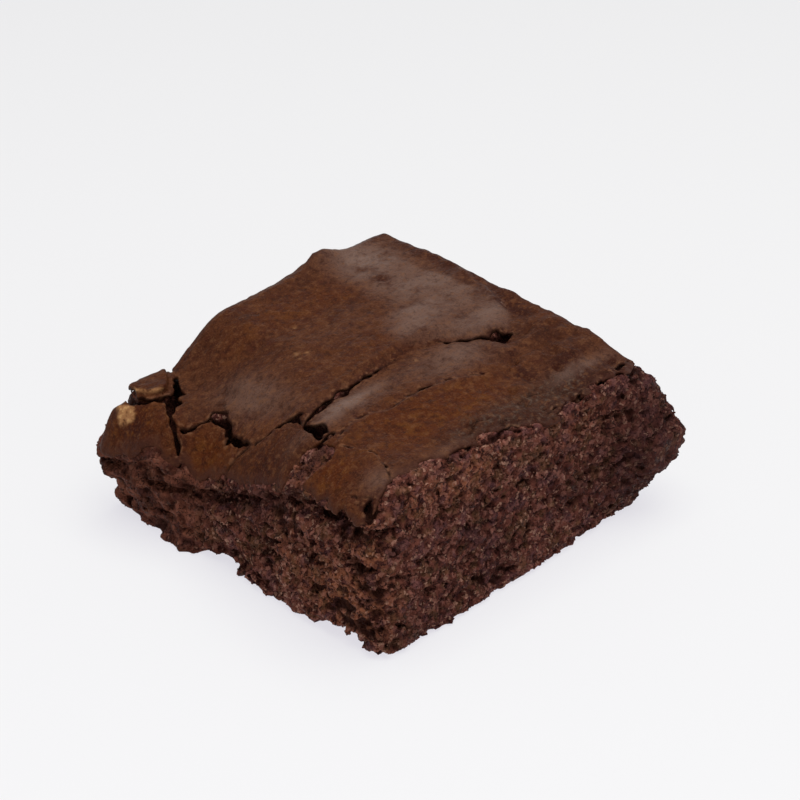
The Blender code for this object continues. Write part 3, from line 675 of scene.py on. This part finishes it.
crumb_piece = solid_from_field("crumb", crumb, depth=smooth_block, toast=soft_patches(TOASTED),
                               moist=soft_patches(DARKENED), pale=soft_patches(PALE), open=open_face, calm=calm)


def linear(hex_colour):
    """An sRGB hex colour as linear RGBA."""
    channels = [int(hex_colour[i:i + 2], 16) / 255 for i in (0, 2, 4)]
    return [c / 12.92 if c <= 0.04045 else ((c + 0.055) / 1.055) ** 2.4 for c in channels] + [1.0]


def add(tree, kind, inputs=None, **settings):
    """A node with its settings, and its inputs set to values or linked to other nodes' sockets."""
    new = tree.nodes.new(kind)
    for name, value in settings.items():
        setattr(new, name, value)
    for key, value in (inputs or {}).items():
        if isinstance(value, bpy.types.NodeSocket):
            tree.links.new(value, new.inputs[key])
        else:
            new.inputs[key].default_value = value
    return new


def new_material(name):
    """An empty material: its tree, its shader, and its object coordinates."""
    material = bpy.data.materials.new(name)
    material.use_nodes = True
    tree = material.node_tree
    return material, tree, tree.nodes["Principled BSDF"], add(tree, "ShaderNodeTexCoord").outputs["Object"]


def sum_of(tree, *terms):
    """Adds up terms of factors to multiply. A factor (value, low, high) eases from 0 at low to 1 at high."""
    total = 0
    for term in terms:
        product = 1
        for factor in reversed(term):
            if isinstance(factor, tuple):
                ramp = dict(zip(("Value", "From Min", "From Max"), factor))
                factor = add(tree, "ShaderNodeMapRange", ramp, interpolation_type="SMOOTHSTEP").outputs[0]
            product = add(tree, "ShaderNodeMath", {0: factor, 1: product}, operation="MULTIPLY").outputs[0]
        total = add(tree, "ShaderNodeMath", {0: product, 1: total}, operation="ADD").outputs[0]
    return total


def layered(tree, colour, *layers):
    """Lays tints over a colour in turn: each is a colour, and factors whose product is how much it covers."""
    for tint, *factors in layers:
        below, above = [linear(c) if isinstance(c, str) else c for c in (colour, tint)]
        inputs = {0: sum_of(tree, factors), 6: below, 7: above}
        colour = add(tree, "ShaderNodeMix", inputs, data_type="RGBA").outputs[2]
    return colour


def chips_of(tree, where, size):
    """Angular chips about size millimetres across: a shade for each, its tilt, and how far its edge is."""
    scale = 1 / (size * MM)
    chip = add(tree, "ShaderNodeTexVoronoi", {"Vector": where, "Scale": scale}).outputs
    offset = add(tree, "ShaderNodeVectorMath", {0: where, 1: chip["Position"]}, operation="SUBTRACT")
    lean = add(tree, "ShaderNodeVectorMath", {0: chip["Color"], 1: (0.5, 0.5, 0.5)}, operation="SUBTRACT")
    tilt = add(tree, "ShaderNodeVectorMath", {0: offset.outputs[0], 1: lean.outputs[0]},
               operation="DOT_PRODUCT").outputs["Value"]
    shade = add(tree, "ShaderNodeSeparateColor", {0: chip["Color"]}).outputs[0]
    edge = add(tree, "ShaderNodeTexVoronoi", {"Vector": where, "Scale": scale}, feature="DISTANCE_TO_EDGE")
    return shade, sum_of(tree, (tilt, scale)), edge.outputs["Distance"]


def set_surface(tree, shader, colour, height, bump_depth, roughness, specular):
    """Sets a material's colour, relief, roughness and shine."""
    bump = add(tree, "ShaderNodeBump", {"Height": height, "Distance": bump_depth * MM})
    tree.links.new(colour, shader.inputs["Base Color"])
    tree.links.new(bump.outputs[0], shader.inputs["Normal"])
    tree.links.new(roughness, shader.inputs["Roughness"])
    shader.inputs["Specular IOR Level"].default_value = specular


# The crumb's material: reddish brown grains, moist, toasted in places, nearly black in the holes by painted
# shade.
# Each noise is given as the size of its bumps in millimetres, and its detail.
NOISE_ROUGHNESS = 0.55
WARP = 0.8
crumb_inside, tree, shader, where = new_material("moist chocolate crumb")
depth, toast, moist, pale, pressed = [
    add(tree, "ShaderNodeAttribute", attribute_name=name).outputs["Fac"]
    for name in ("depth", "toast", "moist", "pale", "calm")]
patches, crumbs, grains, hue, clumps = [
    add(tree, "ShaderNodeTexNoise", {"Vector": where, "Scale": 1 / (size * MM), "Detail": detail,
                                     "Roughness": NOISE_ROUGHNESS}).outputs["Fac"]
    for size, detail in ((9, 3), (1.3, 2), (0.5, 1.5), (2.8, 1), (3.2, 2))]
warp = add(tree, "ShaderNodeTexNoise", {"Vector": where, "Scale": 1 / (WARP * MM), "Detail": 1})
bent = add(tree, "ShaderNodeVectorMath", {0: warp.outputs["Color"], 1: (WARP * MM,) * 3, 2: where},
           operation="MULTIPLY_ADD").outputs[0]
shade, tilt, edge = chips_of(tree, bent, 1)
fine_shade, fine_tilt, _ = chips_of(tree, bent, 0.5)
mixed = sum_of(tree, (patches, 0.35), (crumbs, 0.35), (shade, 0.2), (fine_shade, 0.1))
toasted = sum_of(tree, (crumbs, 0.4), (grains, 0.3), (shade, 0.3))
light = sum_of(tree, (shade, 0.5), (grains, 0.5))
gaps = sum_of(tree, (fine_shade, 0.4), (grains, 0.6))
lump = layered(tree, "3b1c12", ("6e4030", (clumps, 0.4, 0.6)))
colour = layered(
    tree, "3d1c17",
    ("663a30", (mixed, 0.36, 0.62)),
    ("8c563c", toast, (toasted, 0.36, 0.6)),
    # Painted highlights on the raised chips and grains.
    ("8c5e52", (light, 0.6, 0.72), 0.5),
    ("5c442a", (hue, 0.55, 0.67), 0.36),
    ("5a3d42", (hue, 0.45, 0.33), 0.36),
    # Pale flecks: partly pale crumbs, partly painted glints.
    ("a67e6a", (fine_shade, 0.9, 0.98), 0.6),
    # Painted shade under the slumped crust's west edge and in the torn hole; elsewhere darker crumb.
    ("2a1413", moist, 0.95),
    (lump, pressed, 0.7),
    ("96695d", pale, (crumbs, 0.42, 0.58)),
    # Painted shade in the small low pits among the grains.
    ("1c0604", (gaps, 0.4, 0.25), 0.6),
    # Painted shade in the crevices between chips.
    ("180503", (edge, 0.09, 0.02), (crumbs, 0.52, 0.42), 0.85),
    # Painted shade, darkest deep in the holes.
    ("240c06", (depth, 0.15, 0.9), 0.9))
height = sum_of(tree, (crumbs, 0.6), (grains, 0.3), (tilt, 1.4), (shade, 0.35), (fine_tilt, 0.6),
                (fine_shade, 0.2))
height = sum_of(tree, (height, (moist, 1.3, 0.1)))
roughness = sum_of(tree, ((crumbs, 0.3, 0.6), 0.4), (0.42, 1))
set_surface(tree, shader, colour, height, 0.5, roughness, 0.06)

crumb_piece.data.materials.append(crumb_inside)
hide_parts("brownie")
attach(crumb_piece, "root")

# The crust: a thin crisp skin of set chocolate batter, satin brown. It lies on the crumb, breaks off raggedly
# at the rims and along its cracks, and is missing over the torn patch.
RIM_TURN, RIM_TURN_REACH = 0.4, 0.9
above = (z3 - crust_top) * flattened(crust_top)
south_rim = y3 - (south_side + set_back)[:, None] + edge_rag
above = above + RIM_TURN * np.exp(-((np.clip(south_rim, 0, None) / RIM_TURN_REACH) ** 2))
crust = CRUST_THICKNESS / 2 - np.abs(above + CRUST_THICKNESS / 2)
rim_field = crust_sides + 0.4 * relief * (1 - 0.7 * far_edge) + edge_rag
crust = smaller(crust, rim_field, 0.5)
crust = smaller(crust, crack_gap, 0.4)
crust = np.minimum(crust, -depth_inside(TORN_PATCH, x2, y2) + rag)
crust = within_box(crust)

# Its colours: soft warm, grey or dark spots, a painted sheen over the lobe, painted shade along cracks and
# folds.
WARM = [
    ((2, 9), (15, 5), 0.35), ((-29.5, -18), (3, 4), 0.7), ((33.9, -11), (3, 5), 0.6),
    ((-14, -17), (12, 8), 0.9), ((8, -18), (8, 4), 0.5), ((-2, -22), (11, 5), 0.95),
    ((0, 25), (17, 6), 0.6), ((-30, 13), (4, 7), 1), ((-24.5, 4), (2, 6), 0.8), ((18, 19), (3, 3), 0.4),
    ((12, 22), (6, 5), 0.3), ((-31, -22), (4, 8), 0.5), ((-36, 28), (5, 8), 1), ((0, 3), (14, 4), 0.35),
    ((-2, -18), (7, 5), 0.5), ((-32, 0), (3, 4), 0.6)]
# Grey spots: painted sheen over the lobe and in front of it, and the crust's own grey near the rims.
GREY_AND_SHEEN = [
    ((23, 28), (6, 7), 0.95), ((26, 13), (6, 10), 0.25), ((-15, -6), (9, 2.4), 0.9), ((10, -9), (9, 4), 0.5),
    ((-21, 12), (4, 9), 0.4), ((4, 12), (9, 5), 0.05), ((25, -27), (8, 2), 0.5), ((5, -28), (8, 3), 0.1),
    ((-12, -29), (12, 1.6), 0.2), ((21.5, -25.8), (4.6, 1.8), 0.5), ((26, -32.6), (8, 0.9), 0.8),
    ((-27.5, -27), (3, 3), 0.35), ((-35.5, 36.5), (3, 1.2), 0.3)]
# Dark spots: the crust's own dark mottles and ring, and painted shade in a fold, holes, dents and rim gaps.
DARK = [
    ((-31.7, -28.9), (1.7, 1.7), 1), ((16.6, -17.7), (1.3, 0.9), 1), ((18.8, -14.9), (1, 0.8), 0.9),
    ((15.2, -20.2), (1.2, 0.8), 0.9), ((15.4, -22.5), (1.2, 0.8), 0.7), ((25.4, -22.6), (1.6, 1), 1),
    ((22.7, -23.2), (1.2, 0.8), 0.9), ((27.7, -22.5), (1.2, 0.8), 0.8), ((31.7, -28.1), (1.2, 0.8), 1),
    ((29.2, -28.5), (1.2, 0.7), 0.9), ((31.6, -3), (1.2, 3), 0.9), ((30.7, -6.4), (1.2, 2), 0.8),
    ((19.8, 20.3), (2, 2), 0.7), ((-35.5, 27.5), (1.6, 1.8), 0.7), ((-33, 27), (1.4, 2.4), 0.5),
    ((18, -31.4), (5, 0.7), 0.9), ((30, -31.2), (4, 0.7), 0.8), ((22, -28.5), (6, 2.4), 0.8),
    ((33.8, 18), (2.4, 15), 0.7), ((31.5, -1), (2.5, 6), 0.8), ((21.5, -9.5), (2.4, 2), 0.8),
    ((16, -21), (3, 3), 0.5), ((23, -23), (4, 1.6), 0.6), ((5, -32), (9, 2.5), 0.7),
    ((24, -30.5), (9, 0.8), 0.6), ((-14, -31), (14, 1), 0.6), ((28, -15), (6, 6), 0.4),
    ((-38, 26), (3, 9), 0.5), ((-31.5, -1), (4, 5), 0.8), ((1, -28.3), (9, 2.6), 0.5)]
SHEEN = [
    (36, 36), (37, 6), (37, -4), (32, -10), (24, -14), (14, -8), (4, 0), (4, 8), (12, 14), (12, 28),
    (20, 38)]
LOBE_END = [
    (28.4, 38), (28.6, 23.7), (29, 15.9), (30.2, 6.4), (32.2, 2.4), (31.6, -1), (28.5, -5.5), (25.2, -8.6),
    (20, -7.4), (12.4, -2.4), (-30, -3), (-30, 38)]
FOLD_LINE = [(-0.5, -1.5, 0.2), (2.2, -1.2, 0.4), (5.5, -0.5, 0.5), (8.5, -1.2, 0.3), (12, -2.4, 0.4)]
SHEEN_STRENGTH, SHEEN_FADE, SHEEN_END_FADE = 0.66, 8, 1.6
CRACK_SHADE_WIDTH = 0.6
sheen = SHEEN_STRENGTH * smooth(depth_inside(SHEEN, x2, y2) / SHEEN_FADE)
sheen = sheen * smooth(depth_inside(LOBE_END, x2, y2) / SHEEN_END_FADE + 0.5)
sheen = sheen * (0.5 + 0.5 * smooth(0.5 + 0.4 * swells(33, (8, 1.8))))
# Painted shade along the near and main cracks and the fold line past the main crack's end.
stain = np.zeros(x2.shape)
for route in (CRACKS["near"][1], FOLD_LINE, CRACKS["main"][1]):
    distance, width = route_distance(route, x2, y2)
    stain = np.maximum(stain, np.exp(-((distance / (CRACK_SHADE_WIDTH + width)) ** 2)))

# Where the crust has caught and browned to gold: a loose chip, the flake's torn edge above it, and specks.
GOLDEN_EDGE = [
    (-32, 34.6, 0.3), (-31.9, 32.2, 0.7), (-30.6, 30.2, 0.4), (-29, 29.2, 0.8), (-27.6, 29.2, 0.3)]
PALE_SPECKS = [(-9.5, 12.5, 0.5), (-8.2, 11.2, 0.35), (-10.4, 10.6, 0.3), (4, -5, 0.3), (-3, 20, 0.3)]
away, golden_width = route_distance(GOLDEN_EDGE, x2, y2)
upper_edge = smooth((z3 - settled - 0.65) / 0.45)
golden = smooth(depth_inside(PLATES["chip"][3], x2, y2) / 0.4 + 0.4)
for speck_x, speck_y, radius in PALE_SPECKS:
    golden = np.maximum(golden, 0.6 * smooth(1.5 - np.hypot(x2 - speck_x, y2 - speck_y) / radius))
golden = np.maximum(golden, 0.9 * smooth((golden_width - away) / 0.4) * upper_edge)
crust_piece = solid_from_field("crust", crust, edge=crack_gap.astype(np.float32),
                               rim=crust_sides + edge_rag, warm=soft_patches(WARM),
                               grey=np.maximum(soft_patches(GREY_AND_SHEEN), sheen), dark=soft_patches(DARK),
                               wrinkled=wrinkled, golden=golden, stain=stain, crease=crease)

# The crust's material: warm brown, clouded, streaked, satin; duller and greyer with sugar bloom and painted
# sheen.
crust_skin, tree, shader, where = new_material("satin chocolate crust")
turned = {"Vector": where, "Scale": (0.4, 1.0, 1.0), "Rotation": (0, 0, radians(-35))}
along = add(tree, "ShaderNodeMapping", turned).outputs[0]
warm, grey, dark, edge, rim, wrinkled, crease, golden, stain = [
    add(tree, "ShaderNodeAttribute", attribute_name=name).outputs["Fac"]
    for name in ("warm", "grey", "dark", "edge", "rim", "wrinkled", "crease", "golden", "stain")]
noises = ((where, 5.5, 3), (along, 2.2, 3), (where, 1, 3), (where, 0.3, 1), (where, 2, 2), (where, 1.2, 2))
clouds, streak, mottle, speck, spots, fine = [
    add(tree, "ShaderNodeTexNoise", {"Vector": place, "Scale": 1 / (size * MM), "Detail": detail,
                                     "Roughness": NOISE_ROUGHNESS}).outputs["Fac"]
    for place, size, detail in noises]
mixed = sum_of(tree, (clouds, 0.5), (streak, 0.35), (mottle, 0.15))
blotch = sum_of(tree, (mixed, 0.5), (mottle, 0.5))
ragged = sum_of(tree, (rim, 1), (mottle, -2.6), (speck, -1.2))
colour = layered(
    tree, "3f2012",
    ("4f2c19", (mixed, 0.38, 0.62)),
    ("4a220b", warm, (mixed, 0.26, 0.52)),
    ("5e3614", warm, (spots, 0.5, 0.68), 0.55),
    ("3d1a10", (spots, 0.46, 0.34), 0.45),
    # Painted sheen, and the grey of sugar bloom.
    ("705a50", grey, (mixed, 0.28, 0.54)),
    # Painted shade along cracks and folds.
    ("351509", stain, (mottle, 0.58, 0.42)),
    # The crust's own dark spots, and painted shade in a fold, holes, dents and rim gaps.
    ("33150b", dark, (blotch, 0.62, 0.48), 1.35),
    ("37231b", wrinkled, (mottle, 0.3, 0.6)),
    ("4f3d33", wrinkled, (mottle, 0.54, 0.66)),
    # Painted shade in the creases of the wrinkled south.
    ("170a06", (crease, 0.2, 0.8), (clouds, 0.3, 0.6)),
    ("261108", (mottle, 0.45, 0.33), 0.25),
    ("6a452c", (fine, 0.54, 0.68), 0.32),
    ("2c140a", (fine, 0.46, 0.34), 0.5, (grey, 0.6, 0.1)),
    ("6c452c", (speck, 0.58, 0.7), 0.3),
    ("28110a", (speck, 0.42, 0.3), 0.4),
    ("40241c", (ragged, -0.6, -1.6), 0.6),
    ("6e4a34", (edge, 0.9, 0.4), (mottle, 0.5, 0.62), 0.5),
    # Painted shade at the cracks' edges.
    ("1d0c07", (edge, 0.35, 0), 0.8),
    ("8d6340", golden, (mottle, 0.3, 0.45)),
    ("ab8256", golden, (mottle, 0.5, 0.66)))
height = sum_of(tree, (clouds, 1.2), (streak, 0.8), (mottle, 0.42), (speck, 0.12))
roughness = sum_of(tree, (mottle, 0.25), (clouds, 0.25), (grey, -0.08), (0.28, 1))
set_surface(tree, shader, colour, height, 0.6, roughness, 0.045)

crust_piece.data.materials.append(crust_skin)
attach(crust_piece, "root")

# Grains: specks of the crumb up to half a millimetre across, torn loose by the knife, that stand proud of the
# open faces. They are strewn over the crumb's own mesh.
SMALLEST_GRAIN, LARGEST_GRAIN = 0.14, 0.30
GRAIN_SPACING, GRAIN_DENSITY = 0.3, 2.6e6
scatter = bpy.data.node_groups.new("scattered grains", "GeometryNodeTree")
for way in ("INPUT", "OUTPUT"):
    scatter.interface.new_socket("Geometry", in_out=way, socket_type="NodeSocketGeometry")
grain_settings = {"Spacing": GRAIN_SPACING * MM, "Density": GRAIN_DENSITY, "Smallest": SMALLEST_GRAIN * MM,
                  "Largest": LARGEST_GRAIN * MM, "Material": crumb_inside}
identifiers = {}
for label in grain_settings:
    kind = "NodeSocketMaterial" if label == "Material" else "NodeSocketFloat"
    identifiers[label] = scatter.interface.new_socket(label, in_out="INPUT", socket_type=kind).identifier

given = add(scatter, "NodeGroupInput").outputs
openness = add(scatter, "GeometryNodeInputNamedAttribute", {"Name": "open"}, data_type="FLOAT").outputs[0]
points = add(scatter, "GeometryNodeDistributePointsOnFaces",
             {"Mesh": given["Geometry"], "Distance Min": given["Spacing"], "Density Max": given["Density"],
              "Density Factor": openness, "Seed": 51}, distribute_method="POISSON")
speck = add(scatter, "GeometryNodeMeshUVSphere", {"Segments": 4, "Rings": 2}).outputs["Mesh"]
turn = add(scatter, "FunctionNodeRandomValue", {0: (0, 0, 0), 1: (6.28, 6.28, 6.28), "Seed": 52},
           data_type="FLOAT_VECTOR").outputs[0]
size = add(scatter, "FunctionNodeRandomValue", {2: given["Smallest"], 3: given["Largest"], "Seed": 53},
           data_type="FLOAT").outputs[1]
shape = add(scatter, "FunctionNodeRandomValue", {0: (0.6, 0.6, 0.6), 1: (1.3, 1.3, 1.3), "Seed": 54},
            data_type="FLOAT_VECTOR").outputs[0]
scale = add(scatter, "ShaderNodeVectorMath", {0: shape, "Scale": size}, operation="SCALE").outputs[0]
placed = add(scatter, "GeometryNodeInstanceOnPoints", {"Points": points.outputs["Points"], "Rotation": turn,
                                                       "Instance": speck, "Scale": scale})
realized = add(scatter, "GeometryNodeRealizeInstances", {0: placed.outputs[0]})
finished = add(scatter, "GeometryNodeSetMaterial", {0: realized.outputs[0], "Material": given["Material"]})
add(scatter, "NodeGroupOutput", {0: finished.outputs[0]})

grain_piece = new_object("grains", crumb_piece.data.copy())
nodes = grain_piece.modifiers.new("grains", "NODES")
nodes.node_group = scatter
for label, value in grain_settings.items():
    nodes[identifiers[label]] = value
apply_modifiers(grain_piece)
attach(grain_piece, "root")

# Floor and light: a white sweep of card, lit all round as in a light tent. It glows, so that the shadow on it
# stays faint, and a soft key light hangs above the near side.
bpy.ops.mesh.primitive_plane_add(size=4)
floor = bpy.context.object
floor.name = "floor"
white, tree, shader, where = new_material("white sweep")
card = {"Base Color": (0.20, 0.21, 0.17, 1), "Roughness": 1, "Specular IOR Level": 0,
        "Emission Color": (0.97, 0.95, 1.03, 1)}
for name, value in card.items():
    shader.inputs[name].default_value = value
nearness = add(tree, "ShaderNodeVectorMath", {0: where, 1: (-0.7, -0.7, 0)}, operation="DOT_PRODUCT")
glow = add(tree, "ShaderNodeMapRange", {"Value": nearness.outputs["Value"], "From Min": -0.3,
                                        "From Max": 0.15, "To Min": 0.63, "To Max": 0.73})
tree.links.new(glow.outputs["Result"], shader.inputs["Emission Strength"])
floor.data.materials.append(white)

world = bpy.data.worlds.new("studio")
bpy.context.scene.world = world
world.use_nodes = True
tree = world.node_tree
up = add(tree, "ShaderNodeSeparateXYZ", {0: add(tree, "ShaderNodeTexCoord").outputs["Generated"]})
sky = add(tree, "ShaderNodeValToRGB", {0: up.outputs["Z"]})
sky.color_ramp.interpolation = "EASE"
for number, (place, level) in enumerate([(0.0, 1.0), (0.3, 0.9), (0.5, 0.3), (0.75, 0.35), (1.0, 0.8)]):
    stop = sky.color_ramp.elements[number] if number < 2 else sky.color_ramp.elements.new(place)
    stop.position = place
    stop.color = (level, level, 1.02 * level, 1)
tree.links.new(sky.outputs["Color"], tree.nodes["Background"].inputs["Color"])
key = new_object("key", bpy.data.lights.new("key", "AREA"))
key.location = (0.07, -0.10, 0.75)
key.data.size = 0.7
key.data.energy = 5
key.rotation_euler = (radians(8), radians(5), 0)
bpy.context.scene.view_settings.view_transform = "Standard"
